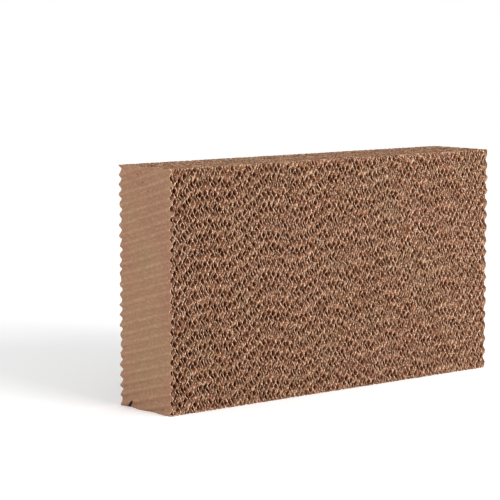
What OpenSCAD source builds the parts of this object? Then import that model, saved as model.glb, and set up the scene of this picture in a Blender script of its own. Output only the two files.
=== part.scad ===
// Evaporative cooling pad: a block of fluted paper sheets glued crest to crest.
// Shallow and steep flutes take turns through the stack, so they cross at every glue line.
// Millimetres. X runs along the stack, Y from the air inlet face (front) to the back, Z is up.
// The origin is the middle of the underside.

/* [Pad] */
// Width of the pad along the stack, which sets how many sheets there are
pad_width = 1100; // [200:10:1500]
// Height of the pad as it stands
pad_height = 600; // [200:10:1200]
// Depth of the pad, the way the air goes through it
pad_depth = 200; // [50:10:300]

/* [Flutes] */
// Height of a flute over both faces of the paper, fitted to an even number of sheets
flute_height = 7.85; // [5:0.05:15]
// Distance from one crest to the next, square to the flutes
flute_pitch = 24; // [12:0.5:40]
// Thickness of the resin-soaked paper, measured through the stack
paper_thickness = 0.3; // [0.2:0.05:0.6]
// Slope of the shallow flutes, which rise towards the front and lead the air
shallow_angle = 15; // [10:1:30]
// Slope of the steep flutes, which fall towards the front and lead the water to it
steep_angle = 45; // [35:1:60]
// Which scatter of wave starts the sheets have, since they are cut from a running web
scatter = 3; // [1:1:50]
// How far the waves of the steep sheets drift to the middle of the stack, in flutes
drift = 3.4; // [0:0.1:6]
// How far that drift rises and falls on the way, in flutes
ripple = 0.55; // [0:0.05:1]
// Rises and falls of the drift along the stack
ripple_count = 4.9; // [0:0.1:12]
// How far a steep sheet strays from the drift, in flutes
stray = 0.12; // [0:0.01:0.5]
// Straight steps to a flute on the two end sheets, whose broad faces are in view
end_steps = 6; // [4:2:24]
// Straight steps to a flute inside the stack, where only the sawn edges are in view
inner_steps = 2; // [2:2:12]

/* [Hidden] */
sheet_count = 2 * round(pad_width / flute_height / 2);
sheet_place = pad_width / sheet_count;
last_sheet = sheet_count - 1;
half_wave = (sheet_place - paper_thickness) / 2;
half_paper = paper_thickness / 2;
sheet_reach = norm([pad_height, pad_depth]) / 2 + flute_pitch;
flutes_each_way = ceil(sheet_reach / flute_pitch);
// The inner sheets lie in this many bundles of each kind, counted from the left
bundle_count = 6;
bundle_size = 2 * ceil((sheet_count - 2) / bundle_count / 2);
shallow_paper = "#b48d6f";
steep_paper = "#a67c5c";

// Sheets are counted from the left end, which is place 0. Even places have shallow flutes
function is_shallow(place) = place % 2 == 0;

function fraction(number) = number - floor(number);

// A fixed scatter of the sheets' numbers over 0 to 1
function scattered(place) = fraction(4375.85 * sin(129.898 * (place + scatter)));

// How far the steep sheets' waves have drifted at a place in the stack, in flutes
function drifted(place) =
    let (along = place / last_sheet)
    drift * sin(180 * along) + ripple * sin(360 * (ripple_count * along - 0.1));

// Where a sheet's waves start, as a share of a flute. The shallow sheets are scattered. The steep ones
// keep near a slow drift, so the rows of openings rise and fall across the front
function wave_start(place) =
    is_shallow(place)
    ? scattered(place)
    : fraction(stray * (2 * scattered(place) - 1) - drifted(place));

// Points along one face of a sheet's wave, side 1 for +X and -1 for -X
function wave_face(side, steps, shift) = [
    for (k = [-flutes_each_way * steps : flutes_each_way * steps])
        [half_wave * cos(360 * k / steps) + side * half_paper, flute_pitch * k / steps + shift]
];

function reversed(list) = [for (k = [len(list) - 1 : -1 : 0]) list[k]];

// Section of a sheet, square to its flutes: X through the stack, Y across the flutes
module wave_section(steps, shift) {
    polygon(concat(wave_face(1, steps, shift), reversed(wave_face(-1, steps, shift))));
}

// One sheet in its place in the stack, cut square to the pad's sides
module fluted_sheet(place, steps) {
    tilt = is_shallow(place) ? 90 - shallow_angle : steep_angle - 90;
    translate([(place + 0.5) * sheet_place - pad_width / 2, 0, pad_height / 2])
        intersection() {
            rotate([tilt, 0, 0])
                linear_extrude(height = 2 * sheet_reach, center = true)
                    wave_section(steps, flute_pitch * wave_start(place));
            cube([2 * sheet_place, pad_depth, pad_height], center = true);
        }
}

// Sheets of one kind in one bundle of the stack, without the two end sheets
module inner_sheets(bundle, shallow) {
    first = 1 + (bundle - 1) * bundle_size;
    last = min(first + bundle_size, last_sheet) - 1;
    for (place = [first : 1 : last])
        if (is_shallow(place) == shallow)
            fluted_sheet(place, inner_steps);
}

// Outer sheet of the left end, with its broad face in view
module left_end_sheet() {
    color(shallow_paper)
        fluted_sheet(0, end_steps);
}

// Sheets with shallow flutes in one bundle
module shallow_sheets(bundle) {
    color(shallow_paper)
        inner_sheets(bundle, true);
}

// Sheets with steep flutes in one bundle
module steep_sheets(bundle) {
    color(steep_paper)
        inner_sheets(bundle, false);
}

// Outer sheet of the right end
module right_end_sheet() {
    color(steep_paper)
        fluted_sheet(last_sheet, end_steps);
}

left_end_sheet();
shallow_sheets(1);  // shallow_sheets_1
shallow_sheets(2);  // shallow_sheets_2
shallow_sheets(3);  // shallow_sheets_3
shallow_sheets(4);  // shallow_sheets_4
shallow_sheets(5);  // shallow_sheets_5
shallow_sheets(6);  // shallow_sheets_6
steep_sheets(1);  // steep_sheets_1
steep_sheets(2);  // steep_sheets_2
steep_sheets(3);  // steep_sheets_3
steep_sheets(4);  // steep_sheets_4
steep_sheets(5);  // steep_sheets_5
steep_sheets(6);  // steep_sheets_6
right_end_sheet();
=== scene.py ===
"""Dresses the evaporative cooling pad: wavy sheets of soaked paper, a pale floor, soft light and a camera."""

import math

import bmesh
import bpy
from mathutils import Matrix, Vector, noise


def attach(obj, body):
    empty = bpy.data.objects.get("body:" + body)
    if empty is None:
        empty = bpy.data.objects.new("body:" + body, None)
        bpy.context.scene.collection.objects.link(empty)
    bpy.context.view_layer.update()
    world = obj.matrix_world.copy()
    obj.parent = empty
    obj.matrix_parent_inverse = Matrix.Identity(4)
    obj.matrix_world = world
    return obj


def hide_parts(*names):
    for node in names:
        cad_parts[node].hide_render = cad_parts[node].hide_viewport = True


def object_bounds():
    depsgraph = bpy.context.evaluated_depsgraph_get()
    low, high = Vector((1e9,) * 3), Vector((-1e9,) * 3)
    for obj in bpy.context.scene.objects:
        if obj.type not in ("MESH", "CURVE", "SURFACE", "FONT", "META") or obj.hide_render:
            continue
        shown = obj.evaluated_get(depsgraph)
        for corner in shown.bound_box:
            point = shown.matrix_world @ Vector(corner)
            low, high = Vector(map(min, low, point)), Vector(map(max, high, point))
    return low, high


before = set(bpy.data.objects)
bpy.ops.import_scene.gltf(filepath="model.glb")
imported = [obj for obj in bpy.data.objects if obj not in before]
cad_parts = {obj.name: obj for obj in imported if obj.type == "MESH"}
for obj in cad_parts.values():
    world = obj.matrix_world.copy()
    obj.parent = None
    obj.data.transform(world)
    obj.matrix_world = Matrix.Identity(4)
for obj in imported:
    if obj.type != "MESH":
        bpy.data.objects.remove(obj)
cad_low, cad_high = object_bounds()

bl_info = {
    "name": "Evaporative cooling pad",
    "version": (1, 0, 0),
    "blender": (4, 5, 0),
    "location": "3D View > Sidebar > Cooling Pad",
    "description": "Builds the fluted paper sheets of an evaporative cooling pad and the stage around them",
    "category": "Object",
}

BODY = "root"
MM = 0.001

# Bundles of the inner sheets of each kind, counted from the left
BUNDLES = 6
# First inner sheet of each kind, counted from the left end sheet, which is place 0
FIRST_STEEP = 1
FIRST_SHALLOW = 2
# Faces along a flute: inner sheets show little more than their edges, end sheets a whole broad face
INNER_LENGTHS = 1
END_LENGTHS = 24

# Scatter of the wave starts, and the share of a ripple by which the drift lags, as in the part's source
SCATTER_GAIN = 4375.85
SCATTER_DEGREES = 129.898
RIPPLE_LAG = 0.1
# Where the scatter of the sheets' tones starts, so that it isn't that of their waves
TONE_START = 50

# Lengths over which the sawn edges and the crests stray
FRAY_LENGTH = 2.1 * MM
BEND_LENGTH = 8 * MM
WANDER_ACROSS = 40 * MM
WANDER_ALONG = 150 * MM
# Steps through the noise from one sheet to the next, so that no two sheets stray alike
FRAY_STEP = 3.7
BEND_STEP = 5.3
WANDER_STEP = 7.3
# Where the noise is read again for the sideways part of the fray
SIDEWAYS = Vector((0.5, 9.5, 4.5))

# How near a point lies to a plane to count as on it, for a cut and on a sawn face
CUT_NEARNESS = 1e-7
FACE_NEARNESS = 1e-6

# Painted light on the inner sheets: the shallow ones are painted lighter and the steep ones darker, for how
# differently the light falls on their walls in the flutes
SHALLOW_PAINTED_LIGHT = 1.1
STEEP_PAINTED_SHADE = 0.88
# Lightness of the lightest and the darkest sheet off the web
LIGHTEST = 1.04
DARKEST = 0.96

# Felt-pen tick on the left end: its place from the back and the foot, its half sizes, lean and soft edge
TICK_FROM_BACK = 36 * MM
TICK_FROM_FOOT = 8 * MM
TICK_HALF_LENGTH = 16 * MM
TICK_HALF_WIDTH = 3 * MM
TICK_LEAN = math.radians(51)
TICK_SOFTNESS = 0.6 * MM

# Stage, in metres and degrees: half the floor's width, and the camera's tilt and turn
FLOOR_REACH = 150.0
CAMERA_TILT = 6.518
CAMERA_TURN = -40.410
WHITE = (1, 1, 1, 1)


def linear(code):
    """A colour written as sRGB hex, as the linear values that Blender takes."""
    channels = [int(code[i : i + 2], 16) / 255 for i in (1, 3, 5)]
    return [c / 12.92 if c <= 0.04045 else ((c + 0.055) / 1.055) ** 2.4 for c in channels]


def opaque(colour):
    """A linear colour with full alpha."""
    return (*colour, 1.0)


class PadSizes(bpy.types.PropertyGroup):
    """Sizes of the pad and its sheets"""

    sheet_count: bpy.props.IntProperty(
        name="Sheets", description="Sheets in the stack", default=140, min=4)
    flute_pitch: bpy.props.FloatProperty(
        name="Flute pitch", description="Distance from crest to crest, square to the flutes",
        default=24 * MM, unit="LENGTH", precision=4)
    paper: bpy.props.FloatProperty(
        name="Paper", description="Thickness of the soaked paper through the stack",
        default=0.4 * MM, unit="LENGTH", precision=5)
    flare: bpy.props.FloatProperty(
        name="Flare", description="How far loose fibres thicken the paper on each side at a sawn edge",
        default=0.3 * MM, unit="LENGTH", precision=5)
    shallow_angle: bpy.props.FloatProperty(
        name="Shallow slope", description="Slope of the flutes that rise towards the front",
        default=math.radians(15), subtype="ANGLE")
    steep_angle: bpy.props.FloatProperty(
        name="Steep slope", description="Slope of the flutes that fall towards the front",
        default=math.radians(45), subtype="ANGLE")
    scatter: bpy.props.IntProperty(
        name="Scatter", description="Which scatter of wave starts the sheets have", default=3)
    drift: bpy.props.FloatProperty(
        name="Drift", description="Flutes by which the steep sheets' waves drift to the middle of the stack",
        default=3.4)
    ripple: bpy.props.FloatProperty(
        name="Ripple", description="Flutes by which the drift rises and falls on the way", default=0.55)
    ripple_count: bpy.props.FloatProperty(
        name="Ripples", description="Rises and falls of the drift along the stack", default=4.9)
    stray: bpy.props.FloatProperty(
        name="Stray", description="Flutes by which a steep sheet strays from the drift", default=0.12)
    wander: bpy.props.FloatProperty(
        name="Wander", description="How far a crest strays from its even place",
        default=2.0 * MM, unit="LENGTH", precision=4)
    lip: bpy.props.FloatProperty(
        name="Lip", description="Depth of the bent lip along the front and the back",
        default=3 * MM, unit="LENGTH", precision=4)
    fray: bpy.props.FloatProperty(
        name="Fray", description="How far the sawn edge strays from its line",
        default=0.8 * MM, unit="LENGTH", precision=4)
    bend: bpy.props.FloatProperty(
        name="Bend", description="How far the saw bent the paper over at a sawn edge",
        default=3.2 * MM, unit="LENGTH", precision=4)
    inner_steps: bpy.props.IntProperty(
        name="Inner steps", description="Faces to a flute on the inner sheets", default=12, min=6)
    end_steps: bpy.props.IntProperty(
        name="End steps", description="Faces to a flute on the two end sheets", default=24, min=6)


class PadColours(bpy.types.PropertyGroup):
    """Colours of the paper"""

    paper: bpy.props.FloatVectorProperty(
        name="Paper", description="Body colour of the soaked paper",
        default=linear("#b0886c"), subtype="COLOR", size=3)
    core: bpy.props.FloatVectorProperty(
        name="Inner paper", description="Paper of the inner sheets, which took up more resin",
        default=linear("#ae7b5a"), subtype="COLOR", size=3)
    # Painted shade: the colour laid on the inner sheets deeper inside the flutes, where shade falls, and on
    # their dark flecks
    painted_shade: bpy.props.FloatVectorProperty(
        name="Deep paper", description="Paper inside the flutes, where more of the resin stayed",
        default=linear("#753c1a"), subtype="COLOR", size=3)
    red_patch: bpy.props.FloatVectorProperty(
        name="Red patch", description="Paper that took up more resin",
        default=linear("#ad8269"), subtype="COLOR", size=3)
    olive_patch: bpy.props.FloatVectorProperty(
        name="Olive patch", description="Paper that took up less resin",
        default=linear("#ad8a6a"), subtype="COLOR", size=3)
    fibre: bpy.props.FloatVectorProperty(
        name="Fibre", description="Dark fibres and specks in the paper",
        default=linear("#7d573d"), subtype="COLOR", size=3)
    sawn_edge: bpy.props.FloatVectorProperty(
        name="Sawn edge", description="Pale fibres along the sawn edges",
        default=linear("#f2cfb1"), subtype="COLOR", size=3)
    ink: bpy.props.FloatVectorProperty(
        name="Ink", description="Felt-pen tick on the left end sheet",
        default=linear("#2a1c17"), subtype="COLOR", size=3)


def is_shallow(place):
    """Sheets are counted from the left end, and those at even places have shallow flutes."""
    return place % 2 == 0


def fraction(number):
    """What a number has past the whole number below it."""
    return number - math.floor(number)


def scattered(number):
    """A fixed scatter of whole numbers over 0 to 1, the same as in the part's source."""
    return fraction(SCATTER_GAIN * math.sin(math.radians(SCATTER_DEGREES * number)))


def wave_start(sizes, place):
    """Where a sheet's waves start, in flutes: scattered if shallow, and near a slow drift if steep."""
    chance = scattered(place + sizes.scatter)
    if is_shallow(place):
        return chance
    along = place / (sizes.sheet_count - 1)
    swell = sizes.drift * math.sin(math.pi * along)
    ripple = sizes.ripple * math.sin(2 * math.pi * (sizes.ripple_count * along - RIPPLE_LAG))
    return fraction(sizes.stray * (2 * chance - 1) - swell - ripple)


def node(tree, kind, settings=None, links=None, **attributes):
    """Adds a node: attributes on it, settings on its inputs, and links from other sockets to its inputs."""
    made = tree.nodes.new(kind)
    for key, value in attributes.items():
        setattr(made, key, value)
    for key, value in (settings or {}).items():
        made.inputs[key].default_value = value
    for key, socket in (links or {}).items():
        tree.links.new(socket, made.inputs[key])
    return made


def new_material(name, roughness, specular):
    """An empty node material with its Principled shader linked to the output."""
    material = bpy.data.materials.new(name)
    material.use_nodes = True
    tree = material.node_tree
    tree.nodes.clear()
    shader = node(tree, "ShaderNodeBsdfPrincipled", {"Roughness": roughness, "Specular IOR Level": specular})
    node(tree, "ShaderNodeOutputMaterial", links={"Surface": shader.outputs["BSDF"]})
    return material, tree, shader


def patches(tree, place, size, detail, rows):
    """Layers of patches of about one size. A row has two noise levels, the most a patch covers and a colour.

    A patch grows from nothing at the first level to its most at the second."""
    pattern = node(tree, "ShaderNodeTexNoise", {"Scale": 1 / size, "Detail": detail}, {"Vector": place})
    layers = []
    for low, high, most, colour in rows:
        share = node(tree, "ShaderNodeMapRange", {"From Min": low, "From Max": high, "To Max": most},
                     {"Value": pattern.outputs["Fac"]})
        layers.append((share.outputs["Result"], colour))
    return layers


def depth_in_pad(tree, place):
    """How far a point lies behind the nearest of the four sawn faces."""
    parts = node(tree, "ShaderNodeSeparateXYZ", links={0: place})
    depths = []
    for axis, low, high in (("Y", cad_low.y, cad_high.y), ("Z", cad_low.z, cad_high.z)):
        from_low = node(tree, "ShaderNodeMath", {1: low}, {0: parts.outputs[axis]}, operation="SUBTRACT")
        from_high = node(tree, "ShaderNodeMath", {0: high}, {1: parts.outputs[axis]}, operation="SUBTRACT")
        depths += [from_low.outputs[0], from_high.outputs[0]]
    least = depths.pop()
    for depth in depths:
        least = node(tree, "ShaderNodeMath", links={0: least, 1: depth}, operation="MINIMUM").outputs[0]
    return least


def flute_shade_and_flecks(tree, place, colours):
    """Layers of an inner sheet: painted shade that darkens the paper deeper inside the flutes, and flecks by
    the sawn faces.
    """
    depth = depth_in_pad(tree, place)
    # Painted shade: the paper darkens from 1 mm to 12 mm behind the nearest sawn face, deeper into the flutes
    shade_share = node(tree, "ShaderNodeMapRange", {"From Min": 1 * MM, "From Max": 12 * MM}, {"Value": depth})
    near = node(tree, "ShaderNodeMapRange", {"From Min": 9 * MM, "From Max": 3 * MM, "To Max": 0.6},
                {"Value": depth})
    layers = [(shade_share.outputs["Result"], colours.painted_shade)]
    # Flecks about 3 mm across, pale where fibres stand out, and dark with painted shade where fibres are torn
    # away into small holes
    flecks = ((0.55, 0.62, 1.0, colours.sawn_edge), (0.49, 0.41, 1.0, colours.painted_shade))
    for share, colour in patches(tree, place, 4.2 * MM, 0.0, flecks):
        by_face = node(tree, "ShaderNodeMath", links={0: share, 1: near.outputs["Result"]},
                       operation="MULTIPLY")
        layers.append((by_face.outputs[0], colour))
    return layers


def kraft_paper(colours, name, inner=False, tick=False, tone=1.0):
    """Kraft paper soaked in resin and pressed hot into waves."""
    # To the eye it is matt tan, cloudy where the resin varies, with short dark fibres and little gloss
    material, tree, shader = new_material(name, roughness=0.82, specular=0.25)
    place = node(tree, "ShaderNodeTexCoord").outputs["Object"]
    # Clouds of resin about 120 mm across, redder where there is more and more olive where there is less
    clouds = ((0.45, 0.75, 1.0, colours.red_patch), (0.55, 0.25, 1.0, colours.olive_patch))
    layers = patches(tree, place, 120 * MM, 0.0, clouds)
    # Inner sheets get painted shade inside the flutes and flecks by the sawn faces
    if inner:
        layers += flute_shade_and_flecks(tree, place, colours)
    else:
        # Mottling about 5 mm across, where the pulp lay thicker or thinner in the web
        mottle = ((0.5, 0.75, 0.3, colours.fibre), (0.5, 0.25, 0.2, colours.sawn_edge))
        layers += patches(tree, place, 6 * MM, 2.0, mottle)
    # Fibres about 1 mm wide and several long, drawn coarser than real ones so that they show
    width, length = 1.2 * MM, 6 * MM
    stretched = node(tree, "ShaderNodeMapping", {"Scale": (1 / width, 1 / length, 1 / width)},
                     {"Vector": place})
    fibres = node(tree, "ShaderNodeTexNoise", {"Scale": 1.0, "Detail": 3.0},
                  {"Vector": stretched.outputs["Vector"]})
    dark = node(tree, "ShaderNodeMapRange", {"From Min": 0.55, "From Max": 0.8, "To Max": 0.4},
                {"Value": fibres.outputs["Fac"]})
    layers.append((dark.outputs["Result"], colours.fibre))
    if tick:
        layers.append((ink_tick(tree, place), colours.ink))
    # Each layer covers a share of the ones before it, and the first a share of the plain paper
    plain = opaque(colours.core if inner else colours.paper)
    links = {}
    for share, colour in layers:
        coat = node(tree, "ShaderNodeMix", {6: plain, 7: opaque(colour)}, {0: share, **links},
                    data_type="RGBA")
        links = {6: coat.outputs[2]}
    # Each sheet comes off the web a little lighter or darker than the next; tone scales this by the painted
    # light and shade of the sheet's kind
    web = node(tree, "ShaderNodeAttribute", attribute_name="sheet_tone")
    shade = node(tree, "ShaderNodeMapRange", {"To Min": DARKEST * tone, "To Max": LIGHTEST * tone},
                 {"Value": web.outputs["Fac"]})
    toned = node(tree, "ShaderNodeHueSaturation",
                 links={"Value": shade.outputs["Result"], "Color": coat.outputs[2]})
    tree.links.new(toned.outputs["Color"], shader.inputs["Base Color"])
    bump = node(tree, "ShaderNodeBump", {"Strength": 0.35, "Distance": 0.2 * MM},
                {"Height": fibres.outputs["Fac"]})
    tree.links.new(bump.outputs["Normal"], shader.inputs["Normal"])
    return material


def ink_tick(tree, place):
    """Share of a slanted felt-pen stroke near the foot of the left end sheet, in the sheet's own plane."""
    middle = Vector((0.0, cad_high.y - TICK_FROM_BACK, cad_low.z + TICK_FROM_FOOT))
    along = Vector((0, -math.sin(TICK_LEAN), math.cos(TICK_LEAN)))
    across = Vector((0, math.cos(TICK_LEAN), math.sin(TICK_LEAN)))
    from_middle = node(tree, "ShaderNodeVectorMath", {1: middle}, {0: place}, operation="SUBTRACT")
    shares = []
    for direction, half in ((along, TICK_HALF_LENGTH), (across, TICK_HALF_WIDTH)):
        away = node(tree, "ShaderNodeVectorMath", {1: direction}, {0: from_middle.outputs["Vector"]},
                    operation="DOT_PRODUCT")
        away = node(tree, "ShaderNodeMath", links={0: away.outputs["Value"]}, operation="ABSOLUTE")
        within = node(tree, "ShaderNodeMapRange",
                      {"From Min": half + TICK_SOFTNESS, "From Max": half - TICK_SOFTNESS},
                      {"Value": away.outputs[0]})
        shares.append(within.outputs["Result"])
    both = node(tree, "ShaderNodeMath", links={0: shares[0], 1: shares[1]}, operation="MULTIPLY")
    return both.outputs[0]


def sawn_edge(colours):
    """Sawn edge of soaked kraft paper."""
    # To the eye it is torn fibre, paler and rougher than the pressed faces, with no gloss to speak of
    material, tree, shader = new_material("sawn_kraft_edge", roughness=0.95, specular=0.15)
    place = node(tree, "ShaderNodeTexCoord").outputs["Object"]
    # Tufts of pale fibre about 3 mm long along the edge, with darker torn paper between them
    torn = [(0.44, 0.5, 0.92, colours.fibre)]
    share, colour = patches(tree, place, 5 * MM, 1.0, torn)[0]
    edge = node(tree, "ShaderNodeMix", {6: opaque(colours.sawn_edge), 7: opaque(colour)}, {0: share},
                data_type="RGBA")
    tree.links.new(edge.outputs[2], shader.inputs["Base Color"])
    return material


def wave_grid(sizes, place, steps, lengths):
    """A bmesh of one broad face of a sheet: a grid that lies along the flutes and is bent into waves."""
    reach = math.hypot(cad_high.z - cad_low.z, cad_high.y - cad_low.y) / 2 + sizes.flute_pitch
    slope = sizes.shallow_angle if is_shallow(place) else sizes.steep_angle
    turn = 1 if is_shallow(place) else -1
    across = Vector((0, math.sin(slope), turn * math.cos(slope)))
    along = Vector((0, -turn * math.cos(slope), math.sin(slope)))
    room = (cad_high.x - cad_low.x) / sizes.sheet_count
    middle = Vector((cad_low.x + (place + 0.5) * room,
                     (cad_low.y + cad_high.y) / 2, (cad_low.z + cad_high.z) / 2))
    swing = (room - sizes.paper) / 2
    shift = wave_start(sizes, place) * sizes.flute_pitch
    rows = round(2 * reach / sizes.flute_pitch * steps)
    sheet = bmesh.new()
    bmesh.ops.create_grid(sheet, x_segments=lengths, y_segments=rows, size=1.0)
    for vert in sheet.verts:
        run = vert.co.x * reach
        step = vert.co.y * reach
        bend = sizes.wander * noise.noise((step / WANDER_ACROSS, run / WANDER_ALONG, place * WANDER_STEP))
        angle = 2 * math.pi * (step + bend - shift) / sizes.flute_pitch
        rise = swing * math.cos(angle) - sizes.paper / 2
        vert.co = middle + across * step + along * run + Vector((rise, 0, 0))
    return sheet


def cut(sheet, point, normal, clear):
    """Cuts a sheet along a plane and, where asked, clears what lies beyond it."""
    bmesh.ops.bisect_plane(sheet, geom=sheet.verts[:] + sheet.edges[:] + sheet.faces[:], dist=CUT_NEARNESS,
                           plane_co=point, plane_no=normal, clear_outer=clear)


def saw(sheet, sizes):
    """Cuts a sheet to the four sawn faces, and marks off the lip behind the front and the back."""
    for point, normal in (
        (cad_low, Vector((0, -1, 0))), (cad_high, Vector((0, 1, 0))),
        (cad_low, Vector((0, 0, -1))), (cad_high, Vector((0, 0, 1))),
    ):
        cut(sheet, point, normal, True)
        if normal.z == 0:
            cut(sheet, point - normal * sizes.lip, normal, False)


def fray_edges(sheet, sizes, place):
    """Draws the sawn edges back a little and bends them, unevenly, as a saw leaves soaked paper."""
    for vert in sheet.verts:
        for axis in (1, 2):
            for edge, inward in ((cad_low[axis], 1), (cad_high[axis], -1)):
                if abs(vert.co[axis] - edge) < FACE_NEARNESS:
                    spot = Vector((place * FRAY_STEP, vert.co.y / FRAY_LENGTH, vert.co.z / FRAY_LENGTH))
                    fold = Vector((place * BEND_STEP, vert.co.y / BEND_LENGTH, vert.co.z / BEND_LENGTH))
                    vert.co[axis] += inward * sizes.fray * abs(noise.noise(spot))
                    vert.co.x += sizes.bend * noise.noise(fold) + sizes.fray * noise.noise(spot + SIDEWAYS)


def thicken(sheet, sizes):
    """Gives a sheet its thickness, and its sawn edges their own material and a flare of loose fibres."""
    broad_faces = set(sheet.faces)
    grown = bmesh.ops.extrude_face_region(sheet, geom=sheet.faces[:], use_keep_orig=True)
    lifted = {part for part in grown["geom"] if isinstance(part, bmesh.types.BMVert)}
    broad_faces |= {part for part in grown["geom"] if isinstance(part, bmesh.types.BMFace)}
    bmesh.ops.translate(sheet, verts=list(lifted), vec=(sizes.paper, 0, 0))
    bmesh.ops.recalc_face_normals(sheet, faces=sheet.faces[:])
    for face in sheet.faces:
        face.material_index = 0 if face in broad_faces else 1
        face.smooth = face in broad_faces
    for edge in sheet.edges:
        edge.smooth = len({face.material_index for face in edge.link_faces}) == 1
    for vert in {vert for face in sheet.faces if face not in broad_faces for vert in face.verts}:
        vert.co.x += sizes.flare if vert in lifted else -sizes.flare


def add_piece(replaced, places, steps, lengths, materials):
    """Joins the sheets of a node into one object at the origin and ties it to the frame."""
    if not places:
        raise RuntimeError(f"The stack has no sheets for {replaced}")
    sizes = bpy.context.scene.pad_sizes
    name = replaced + "_paper"
    mesh = bpy.data.meshes.new(name)
    joined = bmesh.new()
    tones = []
    for place in places:
        sheet = wave_grid(sizes, place, steps, lengths)
        saw(sheet, sizes)
        fray_edges(sheet, sizes, place)
        thicken(sheet, sizes)
        sheet.to_mesh(mesh)
        sheet.free()
        joined.from_mesh(mesh)
        tones += [scattered(place + sizes.scatter + TONE_START)] * len(mesh.vertices)
    joined.to_mesh(mesh)
    joined.free()
    tone = mesh.attributes.new("sheet_tone", "FLOAT", "POINT")
    tone.data.foreach_set("value", tones)
    for material in materials:
        mesh.materials.append(material)
    piece = bpy.data.objects.new(name, mesh)
    bpy.context.scene.collection.objects.link(piece)
    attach(piece, BODY)
    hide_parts(replaced)


def add_bundles(kind, first_place, tone):
    """Adds the inner sheets of one kind, a piece for each bundle, which replaces the node of that bundle."""
    sizes = bpy.context.scene.pad_sizes
    colours = bpy.context.scene.pad_colours
    # tone paints all sheets of this kind lighter or darker, as painted light and shade
    paper = kraft_paper(colours, "resin_soaked_kraft_paper_" + kind, inner=True, tone=tone)
    edge = sawn_edge(colours)
    last_sheet = sizes.sheet_count - 1
    bundle_size = 2 * math.ceil((sizes.sheet_count - 2) / BUNDLES / 2)
    for bundle in range(BUNDLES):
        start = first_place + bundle * bundle_size
        stop = min(1 + (bundle + 1) * bundle_size, last_sheet)
        add_piece(f"{kind}_sheets_{bundle + 1}", range(start, stop, 2), sizes.inner_steps, INNER_LENGTHS,
                  [paper, edge])


class PAD_OT_left_end_sheet(bpy.types.Operator):
    """Add the outer sheet of the left end, with its broad face in view"""

    bl_idname = "pad.left_end_sheet"
    bl_label = "Left End Sheet"

    def execute(self, context):
        colours = context.scene.pad_colours
        paper = kraft_paper(colours, "resin_soaked_kraft_paper_ticked", tick=True)
        add_piece("left_end_sheet", [0], context.scene.pad_sizes.end_steps, END_LENGTHS,
                  [paper, sawn_edge(colours)])
        return {"FINISHED"}


class PAD_OT_shallow_sheets(bpy.types.Operator):
    """Add the shallow-fluted sheets inside the stack"""

    bl_idname = "pad.shallow_sheets"
    bl_label = "Shallow Sheets"

    def execute(self, context):
        add_bundles("shallow", FIRST_SHALLOW, SHALLOW_PAINTED_LIGHT)
        return {"FINISHED"}


class PAD_OT_steep_sheets(bpy.types.Operator):
    """Add the steep-fluted sheets inside the stack"""

    bl_idname = "pad.steep_sheets"
    bl_label = "Steep Sheets"

    def execute(self, context):
        add_bundles("steep", FIRST_STEEP, STEEP_PAINTED_SHADE)
        return {"FINISHED"}


class PAD_OT_right_end_sheet(bpy.types.Operator):
    """Add the outer sheet of the right end"""

    bl_idname = "pad.right_end_sheet"
    bl_label = "Right End Sheet"

    def execute(self, context):
        sizes = context.scene.pad_sizes
        colours = context.scene.pad_colours
        paper = kraft_paper(colours, "resin_soaked_kraft_paper")
        add_piece("right_end_sheet", [sizes.sheet_count - 1], sizes.end_steps, END_LENGTHS,
                  [paper, sawn_edge(colours)])
        return {"FINISHED"}


def seen_rays(tree):
    """1 for the rays by which a background is seen, straight or by way of gloss or glass, and else 0."""
    path = node(tree, "ShaderNodeLightPath")
    seen = path.outputs["Is Camera Ray"]
    for kind in ("Is Glossy Ray", "Is Transmission Ray"):
        either = node(tree, "ShaderNodeMath", links={0: seen, 1: path.outputs[kind]}, operation="MAXIMUM")
        seen = either.outputs[0]
    return seen


def add_floor(scene):
    """A wide floor that shows white where nothing shades it."""
    slab = bmesh.new()
    bmesh.ops.create_grid(slab, x_segments=1, y_segments=1, size=FLOOR_REACH)
    bmesh.ops.translate(slab, verts=slab.verts[:], vec=(0, 0, cad_low.z))
    mesh = bpy.data.meshes.new("floor")
    slab.to_mesh(mesh)
    slab.free()
    # Matt white paint: to the eye an even pale ground with no gloss, on which only the soft shadow shows
    material, tree, shader = new_material("matt_white_floor", roughness=1.0, specular=0.0)
    shader.inputs["Base Color"].default_value = opaque(linear("#f4f4f4"))
    shader.inputs["Emission Color"].default_value = WHITE
    # A little glow lifts the lit floor to white where it is seen, and lights nothing
    lift = node(tree, "ShaderNodeMath", {1: 0.22}, {0: seen_rays(tree)}, operation="MULTIPLY")
    tree.links.new(lift.outputs[0], shader.inputs["Emission Strength"])
    mesh.materials.append(material)
    floor = bpy.data.objects.new("floor", mesh)
    scene.collection.objects.link(floor)


def add_sky(scene):
    """A sky that is seen as plain white, and whose light dims from the horizon to overhead."""
    world = bpy.data.worlds.new("studio_sky")
    scene.world = world
    world.use_nodes = True
    tree = world.node_tree
    tree.nodes.clear()
    direction = node(tree, "ShaderNodeTexCoord").outputs["Generated"]
    height = node(tree, "ShaderNodeSeparateXYZ", links={0: direction}).outputs["Z"]
    dimmed = node(tree, "ShaderNodeMapRange", {"To Min": 0.88, "To Max": 0.54}, {"Value": height})
    level = node(tree, "ShaderNodeMath", links={0: dimmed.outputs["Result"], 1: seen_rays(tree)},
                 operation="MAXIMUM")
    sky = node(tree, "ShaderNodeBackground", {"Color": WHITE}, {"Strength": level.outputs[0]})
    node(tree, "ShaderNodeOutputWorld", links={"Surface": sky.outputs[0]})


def aim(scene, lamp, spot, towards):
    """Adds a lamp at a spot, shining along a direction, that the camera doesn't see."""
    light = bpy.data.objects.new(lamp.name, lamp)
    light.location = spot
    light.rotation_euler = towards.to_track_quat("-Z", "Y").to_euler()
    light.visible_camera = False
    scene.collection.objects.link(light)


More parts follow.
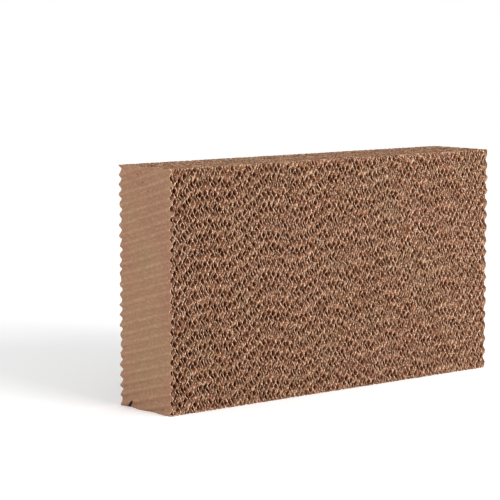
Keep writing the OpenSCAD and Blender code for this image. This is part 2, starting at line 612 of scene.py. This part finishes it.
def add_lamps(scene):
    """A soft sun from the front and a soft box towards each end of the pad."""
    sun = bpy.data.lights.new("soft_sun", "SUN")
    sun.energy = 2.2
    sun.angle = math.radians(30)
    aim(scene, sun, Vector((0, 0, 3)), Vector((-0.15, 0.92, -0.32)))
    middle = (cad_low + cad_high) / 2
    for name, watts, spot, end in (
        ("right_soft_box", 70, Vector((1.9, -2.4, 0.9)), cad_high.x),
        ("left_soft_box", 6.2, Vector((-2.3, 0.3, 1.3)), cad_low.x),
    ):
        box = bpy.data.lights.new(name, "AREA")
        box.energy = watts
        box.size = 1.2
        aim(scene, box, spot, Vector((end, middle.y, middle.z)) - spot)


def add_camera(scene):
    """The photo's view, fitted to the pad's corners: from the front left, a little above the top."""
    lens = bpy.data.cameras.new("camera")
    lens.sensor_width = 36
    lens.lens = 152.834
    lens.clip_end = 400
    camera = bpy.data.objects.new("camera", lens)
    camera.location = (-3.67462, -4.06624, 0.98253)
    camera.rotation_euler = (math.radians(90 - CAMERA_TILT), 0, math.radians(CAMERA_TURN))
    scene.collection.objects.link(camera)
    scene.camera = camera


class PAD_OT_stage(bpy.types.Operator):
    """Add the pale floor, the soft light and the camera"""

    bl_idname = "pad.stage"
    bl_label = "Stage"

    def execute(self, context):
        scene = context.scene
        scene.view_settings.view_transform = "Standard"
        add_floor(scene)
        add_sky(scene)
        add_lamps(scene)
        add_camera(scene)
        return {"FINISHED"}


OPERATORS = (
    PAD_OT_left_end_sheet,
    PAD_OT_shallow_sheets,
    PAD_OT_steep_sheets,
    PAD_OT_right_end_sheet,
    PAD_OT_stage,
)


class PAD_PT_sidebar(bpy.types.Panel):
    """Sizes, colours and pieces of the cooling pad"""

    bl_idname = "PAD_PT_sidebar"
    bl_label = "Cooling Pad"
    bl_space_type = "VIEW_3D"
    bl_region_type = "UI"
    bl_category = "Cooling Pad"

    def draw(self, context):
        for group in (context.scene.pad_sizes, context.scene.pad_colours):
            column = self.layout.column()
            for name in group.__annotations__:
                column.prop(group, name)
        for operator in OPERATORS:
            self.layout.operator(operator.bl_idname)


CLASSES = (PadSizes, PadColours, *OPERATORS, PAD_PT_sidebar)


def register():
    """Registers the classes and gives each scene its sizes and colours."""
    for cls in CLASSES:
        bpy.utils.register_class(cls)
    bpy.types.Scene.pad_sizes = bpy.props.PointerProperty(type=PadSizes)
    bpy.types.Scene.pad_colours = bpy.props.PointerProperty(type=PadColours)


def unregister():
    """Takes back what register gave."""
    del bpy.types.Scene.pad_colours
    del bpy.types.Scene.pad_sizes
    for cls in reversed(CLASSES):
        bpy.utils.unregister_class(cls)


def main():
    register()
    bpy.ops.pad.left_end_sheet()
    bpy.ops.pad.shallow_sheets()
    bpy.ops.pad.steep_sheets()
    bpy.ops.pad.right_end_sheet()
    bpy.ops.pad.stage()


if __name__ == "__main__":
    main()
